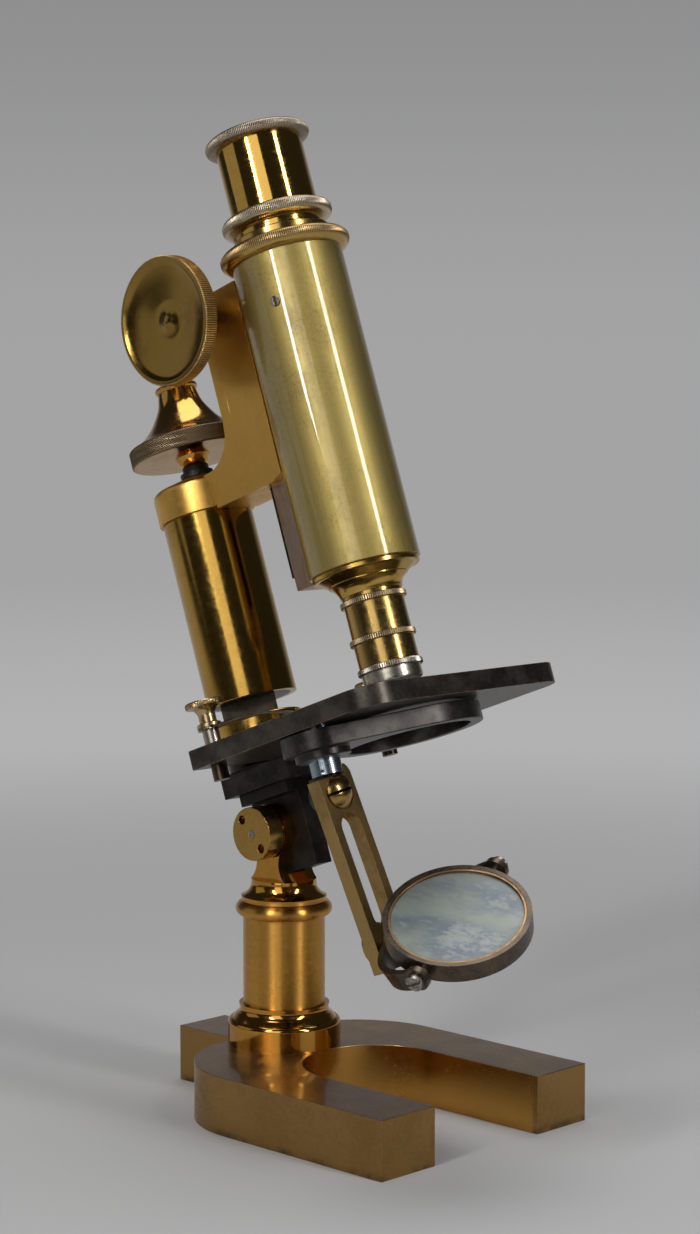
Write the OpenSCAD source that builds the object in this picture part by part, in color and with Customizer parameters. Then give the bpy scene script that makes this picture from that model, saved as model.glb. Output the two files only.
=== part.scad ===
// Brass compound microscope of the continental pattern on a horseshoe foot.
// Frame: +Z up, +X towards the open end of the horseshoe, origin on the table under the pillar.
// The limb leans back about the joint at the top of the pillar. Pieces above the joint are drawn
// in the limb's own axes: x is forward of the joint, y is across, z is along the body tube.

/* [Foot and pillar] */
// Thickness of the horseshoe foot
foot_t = 20.7; // [18:0.1:24]
// Width of the foot across both prongs
foot_w = 104.5; // [100:0.5:112]
// Distance from the pillar axis to the ends of the prongs
foot_front = 99.8; // [92:0.1:110]
// Width of one prong
prong_w = 25.9; // [22:0.1:28]
// Distance from the pillar axis to the end of the rear toe
foot_back = 44.5; // [38:0.5:52]
// Radius of the plain column of the pillar
column_r = 15; // [13:0.1:15.4]
// Height of the inclination joint above the table
joint_z = 99.25; // [99:0.05:104]

/* [Limb] */
// Angle of the body tube from upright as stored
tilt = 19.8; // [15:0.1:24]
// Distance of the body tube's axis in front of the joint
tube_g = 71.9; // [71.5:0.1:73]
// Outer radius of the upright sleeve that hides the fine adjustment
sleeve_r = 16.8; // [16:0.1:17.5]
// Lower end of that sleeve above the joint
sleeve_lo = 48.6; // [45:0.1:52]
// Width of the arm that carries the body tube
arm_w = 20; // [19:0.1:20.5]

/* [Stage and mirror] */
// Height of the stage's upper face above the joint, along the tube
stage_top = 30.6; // [30:0.1:31.5]
// Thickness of the stage plate
stage_t = 7; // [6:0.1:7.5]
// Width of the stage plate
stage_w = 100; // [96:1:104]
// Front edge of the stage in front of the joint
stage_front = 107; // [104:1:112]
// Diameter of the mirror cell
mirror_d = 49.2; // [46:0.1:50]
// Tilt of the mirror out of the plane of its yoke, as stored
mirror_tilt = 33; // [10:0.1:45]
// Turn of the yoke about its rivet, as stored
yoke_turn = 31; // [0:1:50]

/* [Body tube] */
// Outer radius of the body tube
tube_r = 20; // [19.6:0.1:20]
// Outer radius of the draw tube
draw_r = 15.7; // [15.5:0.05:15.8]
// Module of the rack and the pinion
gear_m = 0.5; // [0.5:0.05:0.5]
// Teeth on the pinion
pinion_teeth = 16; // [16:1:16]
// Running gap of a shaft in its bearing, on the radius
fit = 0.05; // [0.03:0.01:0.08]

/* [Hidden] */
$fn = 96;
e = 0.01;

// Limb stations along the tube
bracket_lo = 15.5;
stage_lo = stage_top - stage_t;
prism_boss_hi = 41.8;
collar_lo = 119;
collar_hi = 128.9;
collar_r = 18;
arm_top = 192;
pinion_s = 183.1;
pinion_r = gear_m * pinion_teeth / 2;
pinion_g = 35;
cover_lo = 146.5;
rack_pitch_g = pinion_g + pinion_r;
rack_back_g = 43.5;
shaft_r = 2.5;
cover_back_g = 30.3;
slide_lo = 78;
slide_hi = 190;
tube_lo = 77.7;
tube_hi = 192.6;
tube_bore = 18.6;
draw_lo = 130;
draw_top = 204.5;
ring_top = 210.5;
eye_top = 236.1;
guide_lo = 160;

// Pillar stations above the table
foot_screw_r = 2.1;
bolt_seat = 24.8;
column_lo = 35.4;
neck_lo = 74.7;

// Inclination joint
cheek_in = 4;
cheek_out = 8.3;
cheek_r = 9.8;
tongue_half = 3.9;
axle_r = 3.5;
nut_r = 9.7;
nut_in = 9.4;
nut_out = 16.4;

// Triangular bar of the fine adjustment
prism_r = 12.3;
prism_hi = 108;
screw_r = 3;

// Substage and mirror pivots
post_g = 69;
post_y = -39.5;
post_r = 5.4;
post_lo = 7.7;
spigot_r = 1.9;
plate_lo = 16;
plate_hi = 22.6;
ring_r = 27;
ring_bore = 22.4;
boss_r = 13.2;
bar_lean = 7.6;
bar_half = 8;
bar_top = 5.8;
bar_screw_s = 1.2;
bar_len = 53;
bar_back = -2;
bar_front = 3.6;
bar_slot_half = 4.6;
yoke_r = 28.4;
yoke_w = 7;
yoke_t = 2.2;
mirror_y = post_y + bar_len * sin(bar_lean);
mirror_s = bar_screw_s - bar_len * cos(bar_lean);
yoke_gap = 3.1;
mirror_g = post_g + bar_front + yoke_gap + yoke_r;

clip_g = 20.5;
clip_y = 42.5;
clip_turn = 14;

// Axes of the limb, of the mirror bar, of the yoke and of the mirror
module limb() { translate([0, 0, joint_z]) rotate([0, -tilt, 0]) children(); }

module on_tube() { limb() translate([tube_g, 0, 0]) children(); }

module at_post() { limb() translate([post_g, post_y, 0]) children(); }

module on_bar() {
    at_post() translate([0, 0, bar_screw_s]) rotate([bar_lean, 0, 0]) children();
}

module in_yoke() {
    limb() translate([mirror_g, mirror_y, mirror_s]) rotate([yoke_turn, 0, 0]) children();
}

module in_mirror() { in_yoke() rotate([0, mirror_tilt, 0]) children(); }

// Cylinder along the x axis from x0 to x1
module rod_x(r, x0, x1) {
    translate([x0, 0, 0]) rotate([0, 90, 0]) cylinder(r = r, h = x1 - x0);
}

// Cylinder across the limb from y0 to y1
module rod_y(r, y0, y1) {
    translate([0, y1, 0]) rotate([90, 0, 0]) cylinder(r = r, h = y1 - y0);
}

// Cylinder along the z axis from z0 to z1
module rod_z(r, z0, z1) {
    translate([0, 0, z0]) cylinder(r = r, h = z1 - z0);
}

// Plain ring along the z axis
module pipe(r_out, r_in, z0, z1) {
    difference() {
        rod_z(r_out, z0, z1);
        rod_z(r_in, z0 - 1, z1 + 1);
    }
}

// Points of an arc from angle a0 to a1
function arc(cx, cy, r, a0, a1, n = 8) =
    [for (i = [0:n]) [cx + r * cos(a0 + (a1 - a0) * i / n), cy + r * sin(a0 + (a1 - a0) * i / n)]];

// Side plate with its outline in x and z, its width across y
module side_plate(points, half) {
    rotate([90, 0, 0]) translate([0, 0, -half]) linear_extrude(2 * half) polygon(points);
}

// Slotted cheese or round head drawn head up at the origin
module slotted_screw(head_r, head_h, shank_r, shank_l) {
    difference() {
        union() {
            rod_z(head_r, 0, head_h);
            rod_z(shank_r, -shank_l, e);
        }
        translate([-head_r - 1, -0.45, head_h * 0.5]) cube([2 * head_r + 2, 0.9, head_h]);
    }
}

// Horseshoe slab with a toe behind
module foot() {
    prong_in = foot_w / 2 - prong_w;
    throat_x = 47;
    corner_r = 38;
    heel_x = 23;
    toe_half = 11.5;
    color("goldenrod") difference() {
        linear_extrude(foot_t) difference() {
            union() {
                for (side = [-1, 1]) translate([heel_x, side * (foot_w / 2 - corner_r)]) circle(corner_r);
                translate([heel_x - corner_r, corner_r - foot_w / 2])
                    square([corner_r, foot_w - 2 * corner_r]);
                translate([heel_x, -foot_w / 2]) square([foot_front - heel_x, foot_w]);
                translate([-foot_back, -toe_half]) square([foot_back, 2 * toe_half]);
            }
            translate([throat_x, 0]) circle(prong_in);
            translate([throat_x, -prong_in]) square([foot_front, 2 * prong_in]);
        }
        at_foot_screws() {
            rod_z(foot_screw_r, -1, foot_t + 1);
            rod_z(4.2, -1, 4);
        }
    }
}

// Stations of the foot screws round the pillar
module at_foot_screws() {
    for (a = [60, 180, 300]) rotate([0, 0, a]) translate([13, 0, 0]) children();
}

// Three screws from below that hold the pillar to the foot
module foot_screws() {
    color("dimgray") at_foot_screws() translate([0, 0, 4]) mirror([0, 0, 1])
        slotted_screw(4, 2.8, foot_screw_r, 25);
}

// Long bolt that draws base, column and fork head together
module pillar_bolt() {
    color("dimgray") translate([0, 0, bolt_seat]) mirror([0, 0, 1]) slotted_screw(6, 3.4, screw_r, 54.5);
}

module pillar_base() {
    color("darkgoldenrod") difference() {
        rotate_extrude() polygon(concat(
            [[0, foot_t], [20.7, foot_t], [20.7, 28.2]],
            arc(18.9, 28.2, 1.8, 0, 90, 6),
            arc(19.4, 34.2, 3.2, 240, 170, 8),
            [[16.5, 34.7], [16.5, column_lo], [0, column_lo]]));
        rod_z(screw_r, 10, 40);
        rod_z(6.2, 10, bolt_seat);
        at_foot_screws() rod_z(foot_screw_r, 10, 29.5);
    }
}

module pillar_column() {
    color("peru") rotate_extrude() polygon(concat(
        [[9, column_lo], [column_r, column_lo], [column_r, 67.8]],
        arc(column_r, 70.5, 2.7, -90, 90, 16),
        [[column_r, 73.2], [15.6, 73.5], [15.6, neck_lo], [screw_r, neck_lo], [screw_r, 70],
            [9, 70]]));
}

// Turned neck with the two cheeks of the inclination joint
module fork_head() {
    neck_top = 81.3;
    color("goldenrod") difference() {
        union() {
            rotate_extrude() polygon(concat(
                [[0, neck_lo], [15.6, neck_lo]],
                arc(17.4, 80.4, 5.5, 251, 180, 8),
                [[11.9, neck_top], [0, neck_top]]));
            rotate([90, 0, 0]) translate([0, 0, -cheek_out]) linear_extrude(2 * cheek_out) difference() {
                union() {
                    translate([0, joint_z]) circle(cheek_r);
                    translate([-9.3, neck_top - e]) square([18.6, joint_z - neck_top]);
                }
                for (side = [-1, 1]) translate([side * 14.6, 88]) circle(9);
            }
        }
        translate([-30, -cheek_in, 80.3]) cube([60, 2 * cheek_in, 60]);
        translate([0, 0, joint_z]) rod_y(axle_r, -30, 30);
        rod_z(screw_r, 70, 79.8);
    }
}

module inclination_pin() {
    color("silver") translate([0, 0, joint_z]) {
        rod_y(axle_r, -nut_in, nut_in);
        rod_y(2.6, -13, 13);
        rod_y(1.5, -nut_out, nut_out);
    }
}

// Round nuts turned with a two-pin spanner
module inclination_nuts() {
    color("gold") for (side = [-1, 1]) translate([0, 0, joint_z]) difference() {
        rod_y(nut_r, side > 0 ? nut_in : -nut_out, side > 0 ? nut_out : -nut_in);
        rod_y(2.6, -13, 13);
        rod_y(1.5, -20, 20);
        for (a = [137, -43]) rotate([0, -a, 0]) translate([6.8, 0, 0])
            rod_y(1.6, side > 0 ? nut_out - 4 : -20, side > 0 ? 20 : 4 - nut_out);
    }
}

module inclination_washers() {
    color("darkgoldenrod") for (side = [-1, 1]) translate([0, 0, joint_z]) difference() {
        rod_y(8.6, side > 0 ? cheek_out : -nut_in, side > 0 ? nut_in : -cheek_out);
        rod_y(axle_r, -20, 20);
    }
}

// Tongue between the cheeks and the block above it
module joint_block() {
    color("dimgray") limb() difference() {
        union() {
            side_plate(concat([[-9.5, bracket_lo - 2], [-9.5, -8.3]], arc(-1.5, -8.3, 8, 180, 270, 8),
                [[16.3, -16.3], [16.3, bracket_lo - 2]]), tongue_half);
            translate([-9.5, -9, 11.3]) cube([25.8, 18, bracket_lo - 11.3]);
        }
        rod_y(axle_r + fit, -20, 20);
        for (side = [-1, 1]) translate([6, side * 6, 0]) rod_z(1.6, 12.5, 20);
    }
}

module stage_bracket() {
    color("dimgray") limb() difference() {
        translate([0, 0, bracket_lo]) linear_extrude(stage_lo - bracket_lo)
            polygon([[-14, -12], [22, -12], [29, -5], [29, 5], [22, 12], [-14, 12]]);
        for (side = [-1, 1]) {
            translate([6, side * 6, 0]) rod_z(1.6, 10, 30);
            translate([6, side * 6, 0]) rod_z(3, 20.6, 30);
            translate([20.3, side * 6.5, 0]) rod_z(1.6, 10, 30);
            translate([20.3, side * 6.5, 0]) rod_z(3, 10, 18.5);
        }
    }
}

// Two screws down into the joint block and two up into the stage
module bracket_screws() {
    color("silver") limb() for (side = [-1, 1]) {
        translate([6, side * 6, 20.6]) slotted_screw(3, 2.6, 1.6, 8);
        translate([20.3, side * 6.5, 18.5]) mirror([0, 0, 1]) slotted_screw(3, 2.6, 1.6, 9.4);
    }
}

module prism_boss() {
    color("gold") limb() difference() {
        union() {
            rod_z(14.6, stage_lo, stage_top + 1);
            rod_z(16.8, stage_top + 0.05, prism_boss_hi - 0.4);
            rod_z(16.4, stage_top + 1, prism_boss_hi);
        }
        prism(prism_r, 26, 50);
    }
}

// Bar of three flat sides, one edge to the front
module prism(r, z0, z1) {
    translate([0, 0, z0]) linear_extrude(z1 - z0)
        polygon([for (k = [0:2]) [r * cos(120 * k), r * sin(120 * k)]]);
}

module prism_bar() {
    color("slategray") limb() difference() {
        prism(prism_r, 26, prism_hi);
        rod_z(screw_r + fit, 70, 120);
    }
}

module stage() {
    stage_back = 15;
    color("dimgray") limb() difference() {
        translate([0, 0, stage_lo]) linear_extrude(stage_t) difference() {
            translate([stage_back, -stage_w / 2]) square([stage_front - stage_back, stage_w]);
            for (side = [-1, 1]) translate([stage_front - 12, side * (stage_w / 2 - 12)])
                difference() {
                    translate([0, side > 0 ? 0 : -13]) square([13, 13]);
                    circle(12);
                }
            translate([tube_g, 0]) circle(13);
        }
        for (side = [-1, 1]) {
            translate([clip_g, side * clip_y, 0]) rod_z(2.9, 10, 40);
            translate([20.3, side * 6.5, 0]) rod_z(1.6, 20, 28);
        }
        translate([post_g, post_y, 0]) rod_z(3, 20, 28);
    }
}

// Studs through the stage that carry the spring clips
module clip_posts() {
    color("darkgoldenrod") limb() for (side = [-1, 1]) translate([clip_g, side * clip_y, 0]) {
        rod_z(2.9, 18.2, stage_top);
        rod_z(3.4, stage_top, 31.4);
        rod_z(3, 31.4 - e, 36.3);
        rod_z(1.6, 36.3 - e, 43.5);
    }
}

// Knurled thumb heads on the clip posts, with a narrow waist
module clip_thumb_heads() {
    color("gold") limb() for (side = [-1, 1]) translate([clip_g, side * clip_y, 0])
        rotate_extrude() polygon(concat(
            [[1.6, 37.3], [4.4, 37.3], [4.4, 38.6], [3.1, 39.2]],
            arc(6.5, 41.3, 3.4, 180, 96, 8),
            [[6.7, 44.6], [6.9, 44.9], [6.9, 46.3], [6.5, 46.7], [0, 46.7], [0, 43.5], [1.6, 43.5]]));
}

// Spring strip from the post to the slide on the stage
module clip_strip(side) {
    strip_t = 0.8;
    path = [[0, 36.4], [15, 36.4], [19, 36.24], [23, 35.8], [27, 35], [31, 33.9], [34.5, 32.7],
        [37.5, 31.6], [40, 30.95], [42.5, 30.7], [46, 30.7], [50, 30.9], [54, 31.4], [58, 32.2]];
    last = len(path) - 1;
    color("silver") limb() translate([clip_g, side * clip_y, 0]) difference() {
        union() {
            rod_z(4.3, 36.4, 36.4 + strip_t);
            rotate([0, 0, -side * clip_turn]) intersection() {
                side_plate(concat(path, [for (i = [last:-1:0]) path[i] + [0, strip_t]]), 5);
                translate([0, 0, 28]) linear_extrude(12) hull() {
                    circle(2.7);
                    translate([53.5, 0]) circle(4.2);
                }
            }
        }
        rod_z(1.6 + fit, 20, 50);
    }
}

module near_clip() { clip_strip(-1); }

module far_clip() { clip_strip(1); }

// Steel stud under the stage on which substage ring and mirror swing
module pivot_post() {
    color("lightsteelblue") at_post() difference() {
        union() {
            rod_z(3, 20, 28);
            rod_z(post_r, post_lo, stage_lo);
        }
        rod_z(spigot_r + fit, 0, 17.5);
        translate([0, 0, 9]) rotate([0, 0, -60]) rod_x(0.6, 2.6, 8);
    }
}

// Swing-out plate with the ring for a condenser, its neck running into both circles
module substage_ring() {
    aim = atan2(-post_y, tube_g - post_g);
    swell = asin((ring_r - boss_r) / norm([tube_g - post_g, post_y]));
    color("dimgray") limb() difference() {
        union() {
            translate([0, 0, plate_lo]) linear_extrude(plate_hi - plate_lo) {
                translate([tube_g, 0]) circle(ring_r);
                translate([post_g, post_y]) circle(boss_r);
                polygon(concat(
                    [for (a = [90 + swell, -90 - swell])
                        [post_g, post_y] + boss_r * [cos(aim + a), sin(aim + a)]],
                    [for (a = [-90 - swell, 90 + swell])
                        [tube_g, 0] + ring_r * [cos(aim + a), sin(aim + a)]]));
            }
            translate([post_g, post_y, 0]) rod_z(9.6, 13.3, plate_lo + e);
        }
        translate([tube_g, 0, 0]) rod_z(ring_bore, 10, 30);
        translate([post_g, post_y, 0]) rod_z(post_r + fit, 10, 30);
    }
}

// Dark knuckle behind the mirror bar, its spigot turning in the post
module swivel_lug() {
    color("saddlebrown") at_post() difference() {
        union() {
            rod_z(spigot_r, post_lo - 0.1 - e, 17);
            translate([-6.5, -3.3, bar_screw_s]) cube([7.05, 6.6, post_lo - 0.1 - bar_screw_s]);
            translate([0, 0, bar_screw_s]) rod_x(5.2, -6.5, 0.55);
        }
        translate([0, 0, bar_screw_s]) rod_x(1.8, -5.5, 2);
    }
}

// Slotted brass bar with a lug beside the post that stops its swing
module mirror_bar() {
    foot_s = -61.9;
    slot_hi = -12.4;
    slot_lo = -43;
    lug_r = 5;
    color("goldenrod") difference() {
        on_bar() difference() {
            translate([bar_back, 0, 0]) rotate([90, 0, 90]) linear_extrude(bar_front - bar_back)
                polygon(concat(
                    [[-bar_half, foot_s], [bar_half, foot_s]],
                    arc(bar_half - lug_r, 4.7, lug_r, 0, 90, 12),
                    [[bar_half - lug_r, bar_top], [-bar_half, bar_top]]));
            rod_x(5.5, -5, 0.75);
            translate([-5, -5.5, 0]) cube([5.75, 11, 20]);
            rod_x(1.85, 0, 20);
            rod_x(6.3, bar_front - 0.8, 20);
            for (s = [slot_hi, slot_lo]) translate([0, 0, s]) rod_x(bar_slot_half, -10, 20);
            translate([-10, -bar_slot_half, slot_lo]) cube([30, 2 * bar_slot_half, slot_hi - slot_lo]);
            translate([0, 0, -bar_len]) rod_x(2.2, -10, 20);
        }
        at_post() rod_z(post_r + 0.35, 6.95, 20);
    }
}

module mirror_bar_screw() {
    color("goldenrod") on_bar() difference() {
        union() {
            translate([bar_front - 0.75, 0, 0]) rotate([0, 90, 0]) rotate_extrude()
                polygon(concat([[0, 0], [5.6, 0], [5.6, 1]], arc(0, -3.4, 7.12, 38, 90, 8)));
            rod_x(1.8, -5.4, bar_front);
        }
        translate([bar_front + 1.6, -8, -0.5]) cube([8, 16, 1]);
    }
}

// Rivet with a wide flat head behind the bar, on which the yoke turns
module yoke_rivet() {
    inside = bar_front + yoke_gap + yoke_t / 2;
    color("gold") on_bar() translate([0, 0, -bar_len]) {
        rod_x(7.6, bar_back - 1.5, bar_back);
        rod_x(2.2, bar_back - e, inside + 0.35);
        rod_x(3.2, inside + 0.3, inside + 0.8);
        rod_x(2.4, inside + 0.8 - e, inside + 1.1);
    }
}

// Half ring of flat strip with round ears that hold the mirror by two screws
module mirror_yoke() {
    inner = yoke_r - yoke_t / 2;
    outer = yoke_r + yoke_t / 2;
    color("saddlebrown") in_yoke() difference() {
        union() {
            translate([0, 0, -yoke_w / 2]) linear_extrude(yoke_w) difference() {
                circle(outer);
                circle(inner);
                translate([0, -60]) square([60, 120]);
            }
            for (side = [-1, 1]) rod_y(4.2, side > 0 ? inner : -outer, side > 0 ? outer : -inner);
            rod_x(4.6, 0.15 - yoke_r - yoke_gap, -inner);
        }
        rod_z(inner, -10, 10);
        rod_y(1.6, -60, 60);
        rod_x(2.2 + fit, -yoke_r - 10, 5 - yoke_r);
    }
}

module yoke_pivot_screws() {
    color("silver") in_yoke() for (side = [-1, 1]) mirror([0, side < 0 ? 1 : 0, 0]) difference() {
        union() {
            rod_y(1.6, mirror_d / 2 - 1.6, yoke_r + 2);
            rod_y(2.9, yoke_r + yoke_t / 2, yoke_r + yoke_t / 2 + 2.2);
        }
        translate([-5, yoke_r + yoke_t / 2 + 1.3, -0.45]) cube([10, 3, 0.9]);
    }
}

// Turned brass drum with a glass on each side
module mirror_cell() {
    color("sienna") in_mirror() difference() {
        rod_z(mirror_d / 2, -3.45, 3.45);
        rod_z(22.9, 0.5, 5);
        rod_z(22.9, -5, -0.5);
        for (side = [-1, 1]) rod_y(1.6 + fit, side > 0 ? 22 : -40, side > 0 ? 40 : -22);
    }
}

module mirror_bezels() {
    color("goldenrod") in_mirror() for (side = [0, 1]) mirror([0, 0, side]) difference() {
        rod_z(22.9, 2.4, 3.3);
        rod_z(22, 2, 4);
    }
}

module plane_mirror() {
    color("lightblue") in_mirror() rod_z(22.9, 0.5, 2.4);
}

module concave_mirror() {
    bowl_r = 221;
    color("lightblue") in_mirror() rotate_extrude() polygon(concat(
        [[0, -0.5]],
        [for (r = [0:3.65:21.9]) [r, sqrt(bowl_r * bowl_r - r * r) - bowl_r - 1.3]],
        [[22.9, -2.4], [22.9, -0.5]]));
}

module limb_sleeve() {
    color("darkgoldenrod") limb() pipe(sleeve_r, 14.3, sleeve_lo, collar_lo);
}

// Two plates in the sleeve that run on the triangular bar
module guide_plates() {
    color("slategray") limb() for (s = [[sleeve_lo, sleeve_lo + 5], [98, 103]]) difference() {
        rod_z(14.3, s[0], s[1]);
        prism(prism_r + 2 * fit, s[0] - 1, s[1] + 1);
    }
}

// Collar on the sleeve and the arm in one casting, with the bearing and the grooves cut in it
module arm() {
    color("goldenrod") limb() difference() {
        union() {
            rotate_extrude() polygon([[0, collar_lo], [collar_r, collar_lo], [collar_r, collar_hi],
                [17.6, 130.3], [16.6, 131.2], [7, 134.1], [0, 134.1]]);
            rod_z(14.3, 113, collar_lo + e);
            side_plate([[0, collar_lo], [sleeve_r + 0.1, collar_lo], [sleeve_r + 0.1, 117.7],
                [47.2, 117.6], [52.8, 119.8], [52.9, arm_top], [pinion_g, arm_top],
                [pinion_g, cover_lo], [cover_back_g, cover_lo], [29.6, 141], [27.6, 137],
                [24, 133.4], [19.6, 131.4], [12, 131], [0, 131]], arm_w / 2);
        }
        rod_z(screw_r + fit, 100, 140);
        tube_groove();
        translate([pinion_g, 0, pinion_s]) {
            rod_y(shaft_r + fit, -20, 20);
            rod_y(5, -4.5, 4.5);
        }
        for (s = [152, 172]) for (side = [-1, 1])
            translate([0, side * 6.5, s]) rod_x(1.1, 30, 39);
    }
}

// Room in the arm for rack, dovetail slide and tube
module tube_groove() {
    gap = 0.08;
    translate([0, 0, 110]) linear_extrude(90) {
        polygon([[rack_back_g - gap, -7 - gap], [rack_back_g - gap, 7 + gap], [54, 4.8 + gap],
            [54, -4.8 - gap]]);
        translate([37.9, -3.3]) square([8, 6.6]);
    }
    translate([tube_g, 0, 0]) rod_z(tube_r + 0.4, 100, 200);
}

module pinion_cover() {
    color("goldenrod") limb() difference() {
        translate([cover_back_g, -arm_w / 2, cover_lo])
            cube([pinion_g - cover_back_g, arm_w, arm_top - cover_lo]);
        translate([pinion_g, 0, pinion_s]) {
            rod_y(shaft_r + fit, -20, 20);
            rod_y(5, -4.5, 4.5);
        }
        for (s = [152, 172]) for (side = [-1, 1]) translate([0, side * 6.5, s]) {
            rod_x(1.1, 25, 40);
            rod_x(2, 25, 31.9);
        }
    }
}

module cover_screws() {
    color("silver") limb() for (s = [152, 172]) for (side = [-1, 1])
        translate([31.9, side * 6.5, s]) rotate([0, -90, 0]) slotted_screw(2, 1.5, 1.1, 6);
}

// Closed solid of the coil spring round the fine screw, hidden in the sleeve
module fine_spring() {
    color("silver") limb() pipe(7.5, 6.3, prism_hi + 2, 113);
}

module fine_screw() {
    color("silver") limb() {
        rod_z(screw_r, 80, 139.2);
        rod_z(2, 139, 160);
    }
}

module fine_screw_collar() {
    color("#1c1c1c") limb() {
        pipe(6.2, screw_r, 134.4, 136.6);
        pipe(4.9, screw_r, 136.6 - e, 139);
    }
}

// Turned milled head with a hollow crown
module fine_knob() {
    color("darkgoldenrod") limb() rotate_extrude() polygon([[2, 139.2], [4.4, 139.2], [5.4, 140.2],
        [6.2, 141.6], [6.7, 142.7], [22.5, 142.7], [22.9, 143.1], [22.9, 148.7], [22.5, 149.1],
        [20.5, 149.5], [16.4, 152.2], [13, 155.6], [10.6, 159.1], [8.9, 162], [8.1, 164],
        [7.2, 167.5], [7.2, 168.3], [2, 168.3]]);
}

module fine_knob_button() {
    color("gold") limb() {
        rod_z(7.9, 168.3, 170.5);
        rod_z(2, 160, 168.4);
    }
}

// Half thickness of a tooth, as an angle, at radius r on the involute of the pinion
function inv(a) = tan(a) * 180 / PI - a;
base_r = pinion_r * cos(20);
function tooth_half(r) =
    (gear_m * PI / 4 - 0.06) / pinion_r * 180 / PI + inv(20) - (r > base_r ? inv(acos(base_r / r)) : 0);

module pinion_shaft() {
    root_r = pinion_r - 0.62;
    tip_r = pinion_r + 0.45;
    flank = [root_r, base_r, pinion_r, tip_r];
    color("silver") limb() translate([pinion_g, 0, pinion_s]) {
        rotate([90, 0, 0]) translate([0, 0, -3]) linear_extrude(6) {
            circle(root_r);
            for (k = [0:pinion_teeth - 1]) rotate(k * 360 / pinion_teeth) polygon(concat([[0, 0]],
                [for (r = flank) r * [cos(tooth_half(r)), -sin(tooth_half(r))]],
                [for (i = [3:-1:0]) flank[i] * [cos(tooth_half(flank[i])), sin(tooth_half(flank[i]))]]));
        }
        rod_y(shaft_r, -28, 28);
    }
}

// Milled head with a dished face and a small cone at its centre
module coarse_knob() {
    rim_in = 25.9;
    rotate_extrude() polygon([[0, 28], [shaft_r, 28], [shaft_r, 10.4], [5.4, 10.4], [5.4, 19.8],
        [7, 22.6], [10.5, 24.8], [15, rim_in - 0.1], [22.9, rim_in], [23.4, rim_in + 0.5], [23.4, 31],
        [22.9, 31.5], [21.6, 31.5], [20.2, 30.4], [8.4, 28.9], [7.6, 28.2], [4.2, 28.6], [0, 30.6]]);
}

module near_coarse_knob() {
    color("darkgoldenrod") limb() translate([pinion_g, 0, pinion_s]) rotate([90, 0, 0]) coarse_knob();
}

module far_coarse_knob() {
    color("darkgoldenrod") limb() translate([pinion_g, 0, pinion_s]) rotate([-90, 0, 0]) coarse_knob();
}

module tube_slide() {
    color("rosybrown") limb() difference() {
        translate([0, 0, slide_lo]) linear_extrude(slide_hi - slide_lo)
            polygon([[rack_back_g, -7], [rack_back_g, 7], [54, 4.8], [54, -4.8]]);
        translate([tube_g, 0, 0]) rod_z(tube_r, 0, 250);
        for (s = [90, 128]) translate([0, 0, s]) rod_x(1.2, 40, 50);
    }
}

// Straight rack let into the back of the slide
module rack() {
    rack_lo = 120.3;
    pitch = gear_m * PI;
    count = 44;
    tip = rack_pitch_g - 0.45;
    root = rack_pitch_g + 0.62;
    function half_at(g) = pitch / 4 - 0.06 + (g - rack_pitch_g) * tan(20);
    color("slategray") limb() difference() {
        union() {
            translate([root, -3, rack_lo]) cube([rack_back_g - root, 6, slide_hi - 0.5 - rack_lo]);
            side_plate([[tip, 84], [rack_back_g, 84], [rack_back_g, rack_lo + e], [tip, rack_lo + e]], 3);
            for (k = [-3:count - 7]) side_plate([
                for (q = [[root + e, -1], [tip, -1], [tip, 1], [root + e, 1]])
                    [q[0], pinion_s - (k - 0.5) * pitch + q[1] * half_at(q[0])]], 3);
        }
        for (s = [90, 128]) translate([0, 0, s]) {
            rod_x(1.2, 30, 50);
            rod_x(2.2, 30, 40.4);
        }
    }
}

module rack_screws() {
    color("silver") limb() for (s = [90, 128])
        translate([40.4, 0, s]) rotate([0, -90, 0]) slotted_screw(2.2, 1.4, 1.2, 8);
}

module at_tube_screw() { rotate([0, 0, -68.7]) translate([0, 0, 174.1]) children(); }

module body_tube() {
    color("gold") on_tube() difference() {
        pipe(tube_r, tube_bore, tube_lo, tube_hi);
        at_tube_screw() rod_x(1.1, 15, 25);
    }
}

// Small slotted screw in the wall of the tube
module tube_screw() {
    color("silver") on_tube() at_tube_screw()
        translate([tube_r, 0, 0]) rotate([0, 90, 0]) slotted_screw(1.9, 0.6, 1.1, 2);
}

// Lower end of the body with the thread for the objective
module nosepiece() {
    color("gold") on_tube() rotate_extrude() polygon(concat(
        [[10.15, 68.4], [11.15, 68.4]],
        arc(17.2, 67.6, 6.1, 172, 118, 8),
        [[14.3, 73.3], [17.5, 75.6], [18.9, 75.6], [19.3, 75.9], [19.3, 77.2], [18.9, 77.5], [18.9, tube_lo],
            [tube_bore, tube_lo], [tube_bore, 84], [16.8, 84], [16.8, 79], [10.15, 77]]));
}

module objective_mount() {
    color("darkgoldenrod") on_tube() difference() {
        union() {
            rod_z(10.15, 60, 72);
            rod_z(10.75, 57.5, 68.4);
            rod_z(11.85, 64.9, 67.1);
        }
        rod_z(8.2, 50, 80);
    }
}

module objective_barrel() {
    color("darkgoldenrod") on_tube() difference() {
        union() {
            rod_z(10.75, 42.6, 57.5);
            rod_z(11.85, 51.1, 53.3);
        }
        rod_z(8.2, 40, 80);
    }
}

module objective_front_cell() {
    color("silver") on_tube() rotate_extrude() polygon([[4, 36], [9.9, 36], [10.6, 36.7], [10.6, 40.4],
        [11.65, 40.4], [11.65, 42.6], [8.2, 42.6], [8.2, 44], [6, 44], [6, 37.5], [4, 37]]);
}

// Front, middle and back glasses of the objective
module objective_lenses() {
    color("lightcyan") on_tube() {
        rod_z(6, 37.5, 40);
        rod_z(8.2, 46, 49);
        rod_z(8.2, 60, 64);
    }
}

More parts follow.
